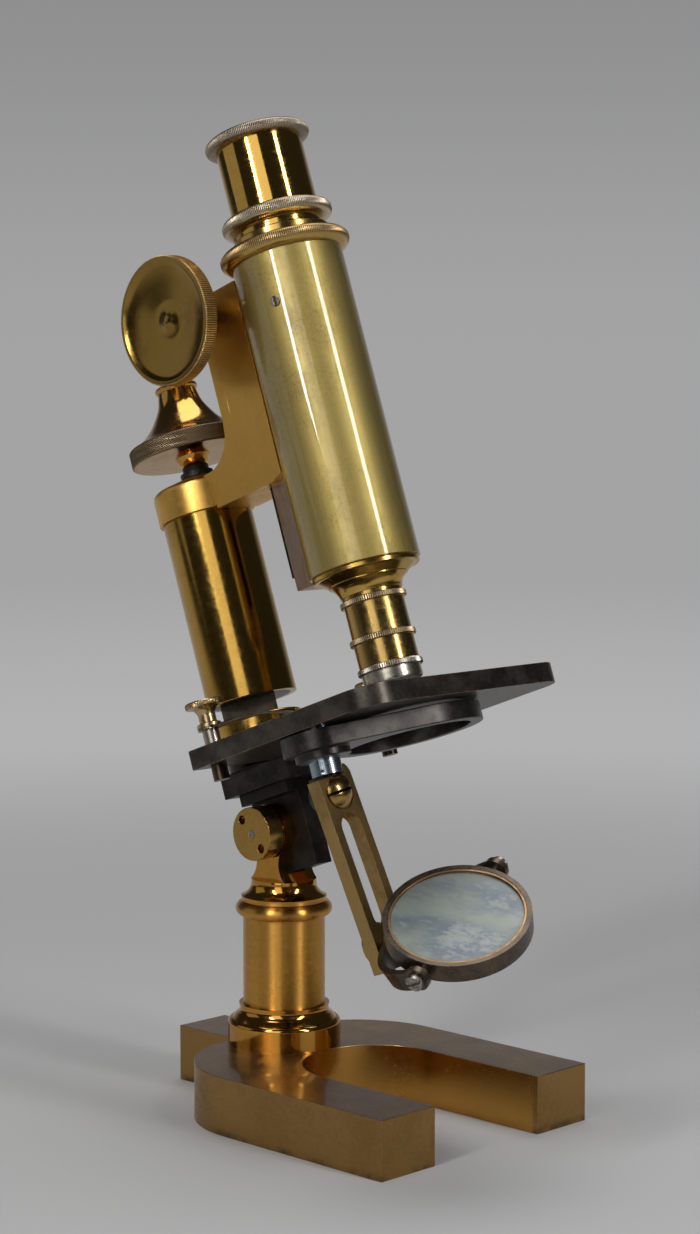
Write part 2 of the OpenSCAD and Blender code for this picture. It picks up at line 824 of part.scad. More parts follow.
// Knurled collar that lines the top of the body and guides the draw tube
module tube_collar() {
    bore = draw_r + fit;
    color("goldenrod") on_tube() difference() {
        rotate_extrude() polygon([[bore, guide_lo], [tube_bore, guide_lo], [tube_bore, tube_hi],
            [20.8, tube_hi], [22.4, 193.6], [23.6, 195.2], [23.6, 196.8], [22.4, 198], [21, 198.5],
            [17.5, 198.6], [17.5, 201.6], [17.1, 202], [bore, 202]]);
        at_tube_screw() rod_x(1.1, 17.9, 25);
    }
}

module draw_tube() {
    color("darkgoldenrod") on_tube() pipe(draw_r, 14.2, draw_lo, draw_top);
}

module draw_tube_ring() {
    color("lightgray") on_tube() rotate_extrude() polygon([[14.2, draw_top], [16.65, draw_top],
        [18.6, 205.4], [20.1, 207], [20.1, 208.8], [18.6, 210.1], [17, ring_top], [14.2, ring_top]]);
}

module eyepiece_barrel() {
    color("darkgoldenrod") on_tube() difference() {
        union() {
            rod_z(draw_r, ring_top, eye_top);
            rod_z(14.2 - fit, 182, ring_top + e);
        }
        rod_z(13, 180, 240);
    }
}

// Knurled cap with the eye opening
module eyepiece_cap() {
    color("rosybrown") on_tube() rotate_extrude() polygon([[4.5, 237.4], [13, 236.9], [13, eye_top],
        [16.9, eye_top], [18.2, 236.6], [19, 237.6], [19.1, 238.2], [19, 238.8], [18.2, 239.8],
        [16.9, 240.2], [12.5, 240.2], [4.5, 238.4]]);
}

// Eye lens, field stop and field lens
module eyepiece_lenses() {
    color("lightcyan") on_tube() {
        rod_z(13, 232, 234.5);
        rod_z(13, 184, 188);
        pipe(13, 8, 209, 210);
    }
}

foot();
foot_screws();
pillar_bolt();
pillar_base();
pillar_column();
fork_head();
inclination_pin();
inclination_nuts();
inclination_washers();
joint_block();
stage_bracket();
bracket_screws();
prism_boss();
prism_bar();
stage();
clip_posts();
near_clip();
far_clip();
clip_thumb_heads();
pivot_post();
substage_ring();
swivel_lug();
mirror_bar();
mirror_bar_screw();
yoke_rivet();
mirror_yoke();
yoke_pivot_screws();
mirror_cell();
mirror_bezels();
plane_mirror();
concave_mirror();
limb_sleeve();
guide_plates();
arm();
fine_spring();
fine_screw();
fine_knob();
fine_knob_button();
fine_screw_collar();
pinion_cover();
cover_screws();
pinion_shaft();
near_coarse_knob();
far_coarse_knob();
tube_slide();
rack();
rack_screws();
body_tube();
tube_screw();
nosepiece();
objective_mount();
objective_barrel();
objective_front_cell();
objective_lenses();
tube_collar();
draw_tube();
draw_tube_ring();
eyepiece_barrel();
eyepiece_cap();
eyepiece_lenses();
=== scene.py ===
"""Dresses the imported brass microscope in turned, milled and brushed brass, dark bronze, steel and glass."""

import math

import bmesh
import bpy
from mathutils import Matrix, Vector


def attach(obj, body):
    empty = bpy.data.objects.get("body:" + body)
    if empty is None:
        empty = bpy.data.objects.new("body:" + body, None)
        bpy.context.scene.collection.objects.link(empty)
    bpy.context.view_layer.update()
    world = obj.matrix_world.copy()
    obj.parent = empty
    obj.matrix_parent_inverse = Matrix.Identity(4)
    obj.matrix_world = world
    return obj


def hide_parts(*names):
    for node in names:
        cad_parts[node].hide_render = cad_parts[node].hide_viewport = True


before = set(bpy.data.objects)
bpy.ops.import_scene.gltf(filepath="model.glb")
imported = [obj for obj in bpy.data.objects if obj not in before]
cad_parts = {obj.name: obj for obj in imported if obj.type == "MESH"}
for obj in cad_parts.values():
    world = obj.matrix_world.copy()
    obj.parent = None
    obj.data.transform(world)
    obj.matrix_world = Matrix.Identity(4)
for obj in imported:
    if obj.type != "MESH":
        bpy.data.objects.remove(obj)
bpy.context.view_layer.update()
scene = bpy.context.scene
scene.view_settings.view_transform = "Standard"

# Camera
# A long lens about a metre away, a little above the stage, off the near front corner of the foot.
photo_height = 1234
focal_pixels = 2715
camera_side = math.radians(-44.54)
camera_down = math.radians(5.30)
camera = bpy.data.objects.new("camera", bpy.data.cameras.new("camera"))
camera.data.sensor_width = 36
camera.data.lens = 36 * focal_pixels / photo_height
camera.location = (0.7036, -0.6806, 0.2676)
ahead = Vector((math.sin(camera_side) * math.cos(camera_down),
                math.cos(camera_side) * math.cos(camera_down), -math.sin(camera_down)))
camera.rotation_euler = ahead.to_track_quat("-Z", "Y").to_euler()
scene.collection.objects.link(camera)
scene.camera = camera


# Studio
# A pale grey floor runs into an even backdrop behind the object. The rest of the room is dark, so that the
# polished brass shows two softboxes and a panel in front, a dim panel at the side and a softbox overhead.
class Wire:
    """A value in a node tree, so that sums on it read as Python."""

    def __init__(self, nodes, socket):
        self.nodes = nodes
        self.socket = socket

    def sum(self, operation, *values):
        return self.nodes.node("ShaderNodeMath", {"operation": operation}, dict(enumerate(values)))

    def __add__(self, other):
        return self.sum("ADD", self, other)

    def __sub__(self, other):
        return self.sum("SUBTRACT", self, other)

    def __rsub__(self, other):
        return self.sum("SUBTRACT", other, self)

    def __mul__(self, other):
        return self.sum("MULTIPLY", self, other)

    def __truediv__(self, other):
        return self.sum("DIVIDE", self, other)

    def __pow__(self, power):
        return self.sum("POWER", self, power)

    def __abs__(self):
        return self.sum("ABSOLUTE", self)

    def rise(self, low, high):
        """Goes smoothly from 0 at low to 1 at high."""
        return self.nodes.node("ShaderNodeMapRange", {"interpolation_type": "SMOOTHSTEP"},
                               {"Value": self, "From Min": low, "From Max": high})


class Nodes:
    """A node tree; node() adds a node with its settings and feeds, and gives one output as a Wire."""

    def __init__(self, tree):
        self.tree = tree

    def node(self, kind, settings=None, feeds=None, out=0):
        made = self.tree.nodes.new(kind)
        for name, value in (settings or {}).items():
            setattr(made, name, value)
        for name, value in (feeds or {}).items():
            self.feed(made, name, value)
        return Wire(self, made.outputs[out])

    def feed(self, made, name, value):
        if isinstance(value, Wire):
            self.tree.links.new(value.socket, made.inputs[name])
        else:
            made.inputs[name].default_value = value

    def shade(self, share, first, second):
        """A colour that goes from first to second with the share."""
        return self.node("ShaderNodeMix", {"data_type": "RGBA"}, {0: share, 6: first, 7: second}, 2)


backdrop = (0.37, 0.37, 0.37, 1)
upper_wall = (0.27, 0.27, 0.272, 1)
dark_room = (0.028, 0.028, 0.030, 1)
scene.world = bpy.data.worlds.new("studio")
scene.world.use_nodes = True
sky = Nodes(scene.world.node_tree)
look = sky.node("ShaderNodeTexCoord", out="Generated")
height = sky.node("ShaderNodeSeparateXYZ", feeds={0: look}, out=2)
behind = (ahead.x, ahead.y, 0)
facing = sky.node("ShaderNodeVectorMath", {"operation": "DOT_PRODUCT"}, {0: look, 1: behind}, out="Value")
seen = sky.node("ShaderNodeLightPath", out="Is Camera Ray")
wall = sky.shade(height.rise(0.0, 0.15), backdrop, upper_wall)
wall = sky.shade(height.rise(0.2, 0.36), wall, dark_room)
room = sky.shade(facing.rise(0.6, 0.95) + seen, dark_room, wall)
sky.feed(scene.world.node_tree.nodes["Background"], "Color", room)

floor_form = bmesh.new()
bmesh.ops.create_circle(floor_form, cap_ends=True, segments=96, radius=6)
floor_mesh = bpy.data.meshes.new("floor")
floor_form.to_mesh(floor_mesh)
floor_form.free()
floor = bpy.data.objects.new("floor", floor_mesh)
scene.collection.objects.link(floor)
floor_paint = bpy.data.materials.new("floor")
floor_paint.use_nodes = True
floor_mesh.materials.append(floor_paint)
ground = Nodes(floor_paint.node_tree)
matt = floor_paint.node_tree.nodes["Principled BSDF"]
matt.inputs["Base Color"].default_value = (0.49, 0.49, 0.49, 1)
matt.inputs["Roughness"].default_value = 0.75
matt.inputs["Specular IOR Level"].default_value = 0.2
spot = ground.node("ShaderNodeTexCoord", out="Object")
away = ground.node("ShaderNodeVectorMath", {"operation": "LENGTH"}, {0: spot}, out="Value")
glow = ground.node("ShaderNodeEmission", feeds={
    "Color": ground.shade(away.rise(0.7, 2.6), (0.45, 0.45, 0.455, 1), backdrop)})
side = ground.node("ShaderNodeVectorMath", {"operation": "DOT_PRODUCT"}, {0: spot, 1: behind}, out="Value")
seen = ground.node("ShaderNodeLightPath", out="Is Camera Ray")
shown = seen.sum("MAXIMUM", seen, side.rise(0, 0.4))
mixed = ground.node("ShaderNodeMixShader", feeds={0: away.rise(0.25, 1.0) * shown,
                                                  1: Wire(ground, matt.outputs[0]), 2: glow})
ground.feed(floor_paint.node_tree.nodes["Material Output"], "Surface", mixed)

lamp_centre = Vector((0.03, 0, 0.17))
camera_bearing = math.radians(-44.05)


def softbox(name, side, up, reach, width, tall, power):
    """A rectangular lamp in metres and watts, side degrees round from the camera and up degrees above the
    object's middle."""
    lamp = bpy.data.objects.new(name, bpy.data.lights.new(name, "AREA"))
    lamp.data.shape = "RECTANGLE"
    lamp.data.size = width
    lamp.data.size_y = tall
    lamp.data.energy = power
    turn = math.radians(side) + camera_bearing
    rise = math.radians(up)
    toward = Vector((math.cos(turn) * math.cos(rise), math.sin(turn) * math.cos(rise), math.sin(rise)))
    lamp.location = lamp_centre + toward * reach
    lamp.rotation_euler = toward.to_track_quat("Z", "Y").to_euler()
    scene.collection.objects.link(lamp)


softbox("left_softbox", -38, 33, 1.5, 0.14, 0.74, 7)
softbox("left_panel", -22, 20, 1.55, 0.66, 1.25, 3.6)
softbox("right_softbox", 48, 31, 1.5, 0.19, 1.0, 9)
softbox("side_panel", -94, 16, 1.5, 1.0, 0.8, 0.9)
softbox("top_softbox", 170, 78, 1.6, 1.3, 1.3, 14)

# Foot
# A heavy horseshoe slab of cast brass, sawn and draw-filed along its sides, polished in its throat, its top
# browned under old lacquer. The pillar is held on it by three screws from below.
mm = Matrix.Scale(0.001, 4)


class Finish(Nodes):
    """The material of one piece, with its constants set on the shader's own sockets."""

    def __init__(self, name, place, constants):
        self.made = bpy.data.materials.new(name)
        self.made.use_nodes = True
        super().__init__(self.made.node_tree)
        self.shader = self.made.node_tree.nodes["Principled BSDF"]
        for socket, value in constants.items():
            self.shader.inputs[socket].default_value = value
        at, turn, size = place.decompose()
        world = self.node("ShaderNodeTexCoord", out="Object")
        self.here = self.node("ShaderNodeMapping", {"vector_type": "TEXTURE"}, {
            "Vector": world, "Location": at, "Rotation": turn.to_euler(), "Scale": size})

    def axis(self, number):
        return self.node("ShaderNodeSeparateXYZ", feeds={0: self.here}, out=number)

    def radius(self):
        return (self.axis(0) ** 2 + self.axis(1) ** 2) ** 0.5

    def noise(self, vector, scale, detail=3.0, rough=0.55):
        return self.node("ShaderNodeTexNoise", feeds={
            "Vector": vector, "Scale": scale, "Detail": detail, "Roughness": rough})

    def stretched(self, x, y, z):
        return self.node("ShaderNodeVectorMath", {"operation": "MULTIPLY"}, {0: self.here, 1: (x, y, z)})

    def rings(self, across, along):
        """Coordinates that change only with radius and height, for marks of the lathe."""
        return self.node("ShaderNodeCombineXYZ", feeds={0: self.radius() * across, 2: self.axis(2) * along})

    def put(self, socket, value):
        self.feed(self.shader, socket, value)

    def fed(self, socket):
        """The value that feeds a socket so far."""
        return Wire(self, self.shader.inputs[socket].links[0].from_socket)

    def bump(self, height, strength, depth):
        self.put("Normal", self.node("ShaderNodeBump", feeds={
            "Strength": strength, "Distance": depth, "Height": height}))


def rgb(red, green, blue):
    return red, green, blue, 1


def brass(name, place, colour, stain, grain, rough, stained=0.35, cut=0.000004, patch=0.045, specks=0.0,
          spun=0.0):
    """Old lacquered brass; the grain gives its lathe or file marks, the stain its browned patches."""
    finish = Finish(name, place, {"Metallic": 1.0, "Anisotropic": spun, "Anisotropic Rotation": 0.25})
    lines = finish.noise(grain(finish), 1.0, 2.0, 0.6)
    cloud = finish.noise(finish.here, patch, 4.0, 0.6)
    fine = finish.noise(finish.here, 0.55, 3.0, 0.6)
    smudge = (cloud + (fine - 0.5) * 0.35).rise(0.42, 0.72) * stained
    tone = finish.shade(smudge, colour, stain)
    tone = finish.shade((lines - 0.5) * 0.5 + 0.12, tone, stain)
    if specks:
        dots = finish.noise(finish.here, 1.15, 2.0, 0.7)
        dots = (dots * 0.7 + cloud * 0.5).rise(0.66, 0.74)
        tone = finish.shade(dots * specks, tone, rgb(0.16, 0.09, 0.035))
    finish.put("Base Color", tone)
    finish.put("Roughness", (lines - 0.5) * 0.16 + (fine - 0.5) * 0.14 + smudge * 0.25 + rough)
    finish.bump(lines, 1.0, cut)
    return finish


def filed(x, y, z):
    """Straight grain, fine across its length and long along it."""
    return lambda finish: finish.stretched(x, y, z)


def solid(node, width):
    """The solid of a CAD node in metres, with the sharpness taken off every hard edge."""
    form = bmesh.new()
    form.from_mesh(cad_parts[node].data)
    bmesh.ops.remove_doubles(form, verts=form.verts, dist=2e-6)
    bmesh.ops.dissolve_limit(form, angle_limit=math.radians(0.4), verts=form.verts, edges=form.edges)
    hard = [edge for edge in form.edges
            if len(edge.link_faces) == 2 and edge.calc_face_angle() > math.radians(28)]
    bmesh.ops.bevel(form, geom=hard, offset=width, segments=2, profile=0.5, affect="EDGES",
                    material=-1, clamp_overlap=True)
    return form


def show(name, form, body, finish, nodes, place=None):
    """Puts a finished form into the scene for CAD nodes; one in the mm of a place is put there first."""
    if place:
        form.transform(place)
    mesh = bpy.data.meshes.new(name)
    form.to_mesh(mesh)
    form.free()
    mesh.shade_smooth()
    mesh.set_sharp_from_angle(angle=math.radians(34))
    mesh.materials.append(finish.made)
    piece = bpy.data.objects.new(name, mesh)
    scene.collection.objects.link(piece)
    even = piece.modifiers.new("even", "WEIGHTED_NORMAL")
    even.keep_sharp = True
    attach(piece, body)
    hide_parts(*nodes)


def dress(finish, *nodes):
    """Gives CAD nodes that keep their own shape their material."""
    for node in nodes:
        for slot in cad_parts[node].material_slots:
            slot.material = finish.made


foot_height = 20.7
foot_brass = brass("foot_brass", mm, rgb(0.38, 0.225, 0.075), rgb(0.24, 0.13, 0.045),
                   filed(0.10, 0.10, 3.2), 0.32, stained=0.5, cut=0.000012, patch=0.03)
foot_brass.shader.inputs["Coat Roughness"].default_value = 0.07
top_side = foot_brass.axis(2).rise(foot_height - 0.35, foot_height - 0.05)
throat_side, throat_back, throat_front = 26.6, 10, 98
across_foot, along_foot = abs(foot_brass.axis(1)), foot_brass.axis(0)
throat = (throat_side - across_foot).rise(0, 0.2) * along_foot.rise(throat_back, throat_back + 2) * \
    (throat_front - along_foot).rise(0, 1)
top_noise = foot_brass.noise(foot_brass.here, 0.06, 5.0, 0.62)
top_tone = foot_brass.shade(top_noise.rise(0.35, 0.7), rgb(0.36, 0.22, 0.10), rgb(0.48, 0.31, 0.155))
# Darker towards the bottom of the sides, in patches.
dark_low_band = (3.2 - foot_brass.axis(2)).rise(0.0, 2.6) * top_noise.rise(0.45, 0.6) * 0.7
side_tone = foot_brass.shade(dark_low_band, foot_brass.fed("Base Color"), rgb(0.10, 0.075, 0.05))
side_tone = foot_brass.shade(throat * 0.7, side_tone, rgb(0.56, 0.29, 0.055))
foot_brass.put("Base Color", foot_brass.shade(top_side, side_tone, top_tone))
foot_brass.put("Coat Weight", top_side * 0.55)
foot_brass.put("Roughness", foot_brass.fed("Roughness") - throat * 0.14 * (1 - top_side))
show("foot_slab", solid("foot", 0.00045), "stand", foot_brass, ["foot"])

steel_hidden = Finish("fastening_steel", mm, {"Metallic": 1.0, "Roughness": 0.4})
steel_hidden.put("Base Color", steel_hidden.shade(steel_hidden.noise(steel_hidden.here, 0.8).rise(0.4, 0.7),
                                                  rgb(0.42, 0.42, 0.43), rgb(0.25, 0.20, 0.16)))
dress(steel_hidden, "foot_screws", "pillar_bolt")


# Pillar
# Three turned pieces of brass, one above the other: a stepped base, a plain drum with a bead, and the
# neck of the fork. All are finished on the lathe and lacquered a red gold.
def turned(profile, steps=144, ease=0.25):
    """A form in mm, turned about its own axis from points of radius and height."""
    form = bmesh.new()
    line = [form.verts.new((radius, 0, height)) for radius, height in profile]
    ring = [form.edges.new(pair) for pair in zip(line, line[1:])]
    if profile[0][0] and profile[-1][0]:
        ring.append(form.edges.new((line[-1], line[0])))
    if ease:
        corners = [vert for vert in line if len(vert.link_edges) == 2 and vert.calc_edge_angle() > 0.5]
        bmesh.ops.bevel(form, geom=corners, offset=ease, segments=3, profile=0.5, affect="VERTICES",
                        material=-1, clamp_overlap=True)
    bmesh.ops.spin(form, geom=form.verts[:] + form.edges[:], cent=(0, 0, 0), axis=(0, 0, 1),
                   dvec=(0, 0, 0), angle=2 * math.pi, steps=steps, use_merge=True, use_duplicate=False)
    bmesh.ops.remove_doubles(form, verts=form.verts, dist=0.0005)
    bmesh.ops.recalc_face_normals(form, faces=form.faces)
    return form


def bend(centre_r, centre_z, size, start, stop, count=10):
    """Points of an arc in a profile, from one angle to another."""
    return [(centre_r + size * math.cos(math.radians(start + (stop - start) * k / count)),
             centre_z + size * math.sin(math.radians(start + (stop - start) * k / count)))
            for k in range(count + 1)]


def lathe(across, along):
    return lambda finish: finish.rings(across, along)


drum_gold = brass("drum_gold", mm, rgb(0.66, 0.34, 0.068), rgb(0.36, 0.18, 0.045), lathe(0.3, 3.4), 0.30,
                  stained=0.15, cut=0.000006, patch=0.03, spun=0.9)
pillar_gold = brass("pillar_gold", mm, rgb(0.60, 0.31, 0.055), rgb(0.34, 0.15, 0.035), lathe(1.2, 2.4), 0.10,
                    stained=0.3, cut=0.0000012, patch=0.06)
drum_low, drum_high = 35.4, 74.7
base_profile = [(0, foot_height), (20.7, foot_height), (20.7, 28.2)] + bend(18.9, 28.2, 1.8, 0, 90)
base_profile += bend(19.4, 34.2, 3.2, 240, 170) + [(16.5, 34.7), (16.5, drum_low), (0, drum_low)]
show("pillar_foot", turned(base_profile, ease=0), "stand", pillar_gold,
     ["pillar_base"], mm)
drum_profile = [(9, drum_low), (15, drum_low), (15, 67.8)] + bend(15, 70.5, 2.7, -90, 90, 16)
drum_profile += [(15.6, 73.5), (15.6, drum_high), (3, drum_high)]
show("pillar_drum", turned(drum_profile, ease=0.12), "stand", drum_gold,
     ["pillar_column"], mm)
show("fork", solid("fork_head", 0.0003), "stand", pillar_gold, ["fork_head"])

# Inclination joint
# Round brass nuts with two spanner holes draw the cheeks of the fork on to the tongue, over thin washers,
# on a steel pin. The nuts are faced on the lathe and polished.
joint_at = Matrix.Translation((0, 0, 0.09925))
pin_axis = joint_at @ Matrix.Rotation(math.radians(90), 4, "X") @ mm
nut_gold = brass("nut_gold", pin_axis, rgb(0.50, 0.30, 0.075), rgb(0.30, 0.16, 0.045), lathe(4.5, 3.4), 0.24,
                 stained=0.2, cut=0.000012, patch=0.12)
for name, node, width in (("joint_nuts", "inclination_nuts", 0.0005),
                          ("joint_washers", "inclination_washers", 0.0002)):
    show(name, solid(node, width), "stand", nut_gold, [node])
pin_steel = Finish("pin_steel", pin_axis, {"Metallic": 1.0})
pin_steel.put("Base Color", pin_steel.shade(pin_steel.noise(pin_steel.here, 0.5).rise(0.4, 0.7),
                                            rgb(0.40, 0.37, 0.33), rgb(0.20, 0.15, 0.11)))
pin_steel.put("Roughness", pin_steel.noise(pin_steel.rings(4, 4), 1.0) * 0.2 + 0.25)
dress(pin_steel, "inclination_pin")

# Joint block and stage bracket
# Two blocks of brass under the stage, darkened with a bronzing solution.
limb_lean = 19.8
limb = joint_at @ Matrix.Rotation(math.radians(-limb_lean), 4, "Y") @ mm


def bronze(name, place, wear_and_highlight=None, dark=rgb(0.050, 0.043, 0.037), pale=rgb(0.110, 0.092, 0.076), rough=0.34):
    """Brass under a dark bronzing, mottled, with a mask of edges where one is given, painted paler both for
    wear and as their highlights.
    """
    finish = Finish(name, place, {"Metallic": 0.85})
    cloud = finish.noise(finish.here, 0.09, 5.0, 0.65)
    fine = finish.noise(finish.here, 1.2, 4.0, 0.7)
    tone = finish.shade((cloud + (fine - 0.5) * 0.4).rise(0.35, 0.68), dark, pale)
    tone = finish.shade(fine.rise(0.66, 0.78) * 0.55, tone, rgb(0.20, 0.15, 0.10))
    if wear_and_highlight:
        # Edge wear with painted highlight: the masked edges are painted paler brass.
        tone = finish.shade((wear_and_highlight(finish) + (fine - 0.5) * 0.9).rise(0.55, 0.95), tone, rgb(0.42, 0.32, 0.20))
    finish.put("Base Color", tone)
    finish.put("Roughness", (fine - 0.5) * 0.3 + (cloud - 0.5) * 0.2 + rough)
    finish.bump(fine, 0.6, 0.000012)
    return finish


block_bronze = bronze("block_bronze", limb, dark=rgb(0.022, 0.019, 0.017), pale=rgb(0.05, 0.042, 0.036),
                      rough=0.42)
show("joint_tongue", solid("joint_block", 0.0004), "lower_limb", block_bronze,
     ["joint_block"])
show("bracket", solid("stage_bracket", 0.0004), "lower_limb", block_bronze,
     ["stage_bracket"])
dress(steel_hidden, "bracket_screws")

# Fine adjustment foot
# The turned brass boss on the back of the stage, bronzed below it, that carries the three-sided steel bar
# of the fine adjustment. The bar runs up inside the sleeve and hardly shows.
boss_gold = brass("boss_gold", limb, rgb(0.70, 0.44, 0.10), rgb(0.40, 0.22, 0.06), lathe(3, 3), 0.16,
                  stained=0.35)
boss_step = 30.65
boss_gold.put("Base Color", boss_gold.shade(boss_gold.axis(2).rise(boss_step - 0.15, boss_step + 0.05),
                                            rgb(0.035, 0.03, 0.026), boss_gold.fed("Base Color")))
boss_profile = [(0, 23.6), (14.6, 23.6), (14.6, boss_step), (16.8, boss_step), (16.8, 41.3), (16.3, 41.8),
                (0, 41.8)]
show("bar_boss", turned(boss_profile), "lower_limb", boss_gold, ["prism_boss"], limb)
bar_steel = Finish("bar_steel", limb, {"Metallic": 1.0})
bar_steel.put("Base Color", bar_steel.shade(bar_steel.noise(bar_steel.here, 0.2).rise(0.35, 0.7),
                                            rgb(0.055, 0.045, 0.034), rgb(0.025, 0.02, 0.015)))
bar_steel.put("Roughness", bar_steel.noise(bar_steel.stretched(3, 3, 0.2), 1.0) * 0.2 + 0.25)
dress(bar_steel, "prism_bar", "guide_plates")

# Stage
# A heavy square plate of brass, bronzed dark grey brown, with rounded front corners and a hole for the
# light. Its edges are rubbed bright by a century of hands, and painted paler still as highlights on them.
stage_low, stage_high = 23.6, 30.6
stage_back, stage_front, stage_side = 15, 107, 50


def plate_edge(finish):
    """Strong close to the upper and lower rims of the plate's sides, nothing elsewhere."""
    level = finish.axis(2)
    rim = (stage_low + 0.9 - level).rise(0.0, 0.9) + (level - stage_high + 0.7).rise(0.0, 0.7)
    inset = abs(finish.axis(1)).rise(stage_side - 0.9, stage_side)
    front = finish.axis(0).rise(stage_front - 0.9, stage_front)
    back = (stage_back + 0.9 - finish.axis(0)).rise(0.0, 0.9)
    return rim * (inset + front + back) * 0.75


stage_bronze = bronze("stage_bronze", limb, plate_edge)
show("stage_plate", solid("stage", 0.0005), "lower_limb", stage_bronze, ["stage"])


# Spring clips
# Steel strips pinned by turned posts through the back corners of the stage. Each post is painted dark
# below the stage as its shade, bright steel above, and carries a small milled brass head.
def mill(form, rim, teeth, depth, slant=0.0):
    """Cuts a milled edge into the outermost band of a turned form, its grooves leaning by the slant."""
    for vert in form.verts:
        reach = math.hypot(vert.co.x, vert.co.y)
        if reach > rim - depth - 0.3:
            turns = math.atan2(vert.co.y, vert.co.x) / math.tau
            wave = 2 * abs((turns * teeth + vert.co.z * slant) % 1 - 0.5)
            cut = depth * wave * min(1, (reach - rim + depth + 0.3) / 0.3) / reach
            vert.co.x *= 1 - cut
            vert.co.y *= 1 - cut


def milled(finish, rim, teeth, slant=0.0, crest=rgb(0.52, 0.40, 0.24)):
    """Dulls the milled edge of a turned finish, pale on the crests, with painted shade darkening the grooves.
    """
    edge = finish.radius().rise(rim - 0.9, rim - 0.5)
    turns = finish.axis(1).sum("ARCTAN2", finish.axis(1), finish.axis(0)) / math.tau
    count = turns * teeth + finish.axis(2) * slant
    groove_shade = abs(count.sum("FRACT", count) - 0.5).rise(0.2, 0.45)
    grimy = finish.noise(finish.here, 0.5, 4.0, 0.6).rise(0.3, 0.8)
    tone = finish.shade(grimy * 0.6, crest, rgb(0.30, 0.21, 0.11))
    # Painted shade: the grooves of the milling are darkened nearly to black.
    tone = finish.shade(groove_shade * 0.85, tone, rgb(0.06, 0.04, 0.02))
    finish.put("Roughness", finish.fed("Roughness") + edge * 0.2)
    finish.put("Base Color", finish.shade(edge, finish.fed("Base Color"), tone))


for node in ("near_clip", "far_clip"):
    spring = Finish(node + "_steel", limb, {"Metallic": 1.0})
    rust = spring.noise(spring.here, 0.35, 5.0, 0.7)
    spring.put("Base Color", spring.shade(rust.rise(0.45, 0.68), rgb(0.30, 0.24, 0.16),
                                          rgb(0.14, 0.095, 0.06)))
    spring.put("Roughness", rust * 0.3 + 0.18)
    show(node + "_strip", solid(node, 0.00012), node + "_arm", spring, [node])
clip_gold = brass("clip_gold", limb, rgb(0.60, 0.45, 0.24), rgb(0.36, 0.25, 0.12), lathe(3, 3), 0.20,
                  stained=0.5)
stud_metal = Finish("stud_metal", limb, {"Metallic": 1.0, "Roughness": 0.3})
# Painted shade: the post is dark from within the stage down, bright steel above.
stud_metal.put("Base Color", stud_metal.shade(stud_metal.axis(2).rise(26, 30), rgb(0.10, 0.075, 0.05),
                                              rgb(0.42, 0.37, 0.30)))
dress(stud_metal, "clip_posts")
head_rim = 6.9
clip_reach, clip_side = 20.5, 42.5
head_profile = [(0, 37.3), (4.4, 37.3), (4.4, 38.5), (3.1, 39.1)] + bend(6.5, 41.3, 3.4, 180, 98)
head_profile += [(6.6, 44.6)] + [(head_rim, 44.9 + 0.2 * k) for k in range(8)]
head_profile += [(6.5, 46.7), (4.2, 46.7), (0, 46.5)]
heads = bmesh.new()
for side in (-1, 1):
    head = turned(head_profile, steps=192, ease=0)
    mill(head, head_rim, 48, 0.28, 1.1)
    head.transform(limb @ Matrix.Translation((clip_reach, clip_side * side, 0)))
    held = bpy.data.meshes.new("head")
    head.to_mesh(held)
    head.free()
    heads.from_mesh(held)
    bpy.data.meshes.remove(held)
show("clip_heads", heads, "lower_limb", clip_gold, ["clip_thumb_heads"])

# Substage
# A bright steel stud under the stage carries a dark bronzed plate that swings out, with the empty ring
# for a condenser.
post_at = limb @ Matrix.Translation((69, -39.5, 0))
post_steel = Finish("post_steel", post_at, {"Metallic": 1.0})
post_mark = post_steel.noise(post_steel.rings(4, 4), 1.0, 3.0, 0.7)
post_steel.put("Base Color", post_steel.shade(post_mark.rise(0.4, 0.75), rgb(0.42, 0.49, 0.55),
                                              rgb(0.20, 0.23, 0.26)))
post_steel.put("Roughness", post_mark * 0.2 + 0.16)
show("swing_stud", solid("pivot_post", 0.0003), "lower_limb", post_steel, ["pivot_post"])


def ring_edge(finish):
    """Strong close to the lower and upper rims of the swinging plate."""
    low, high = 16.7, 22.0
    level = finish.axis(2)
    return ((low - level).rise(0.0, 0.7) + (level - high).rise(0.0, 0.6)) * 0.42


substage_bronze = bronze("substage_bronze", limb, ring_edge, rgb(0.035, 0.032, 0.030),
                         rgb(0.085, 0.076, 0.068))
show("condenser_plate", solid("substage_ring", 0.0004), "substage", substage_bronze,
     ["substage_ring"])

# Mirror bar
# A slotted bar of yellow brass hangs from a dark knuckle on the stud, held by a domed screw with a wide
# slot, so that the mirror swings sideways and fore and aft.
knuckle_bronze = bronze("knuckle_bronze", post_at, dark=rgb(0.045, 0.036, 0.03), rough=0.4)
show("knuckle", solid("swivel_lug", 0.0003), "mirror_hanger", knuckle_bronze,
     ["swivel_lug"])
bar_at = post_at @ Matrix.Translation((0, 0, 1.2)) @ Matrix.Rotation(math.radians(7.6), 4, "X")
bar_gold = brass("bar_gold", bar_at, rgb(0.42, 0.275, 0.10), rgb(0.20, 0.12, 0.055),
                 filed(2.4, 2.4, 0.09), 0.32, stained=0.55, cut=0.000004)
show("slotted_bar", solid("mirror_bar", 0.00035), "mirror_arm", bar_gold,
     ["mirror_bar"])
screw_gold = brass("screw_gold", bar_at @ Matrix.Rotation(math.radians(90), 4, "Y"), rgb(0.46, 0.29, 0.10),
                   rgb(0.22, 0.12, 0.05), lathe(3, 3), 0.22, stained=0.5, cut=0.0000015)
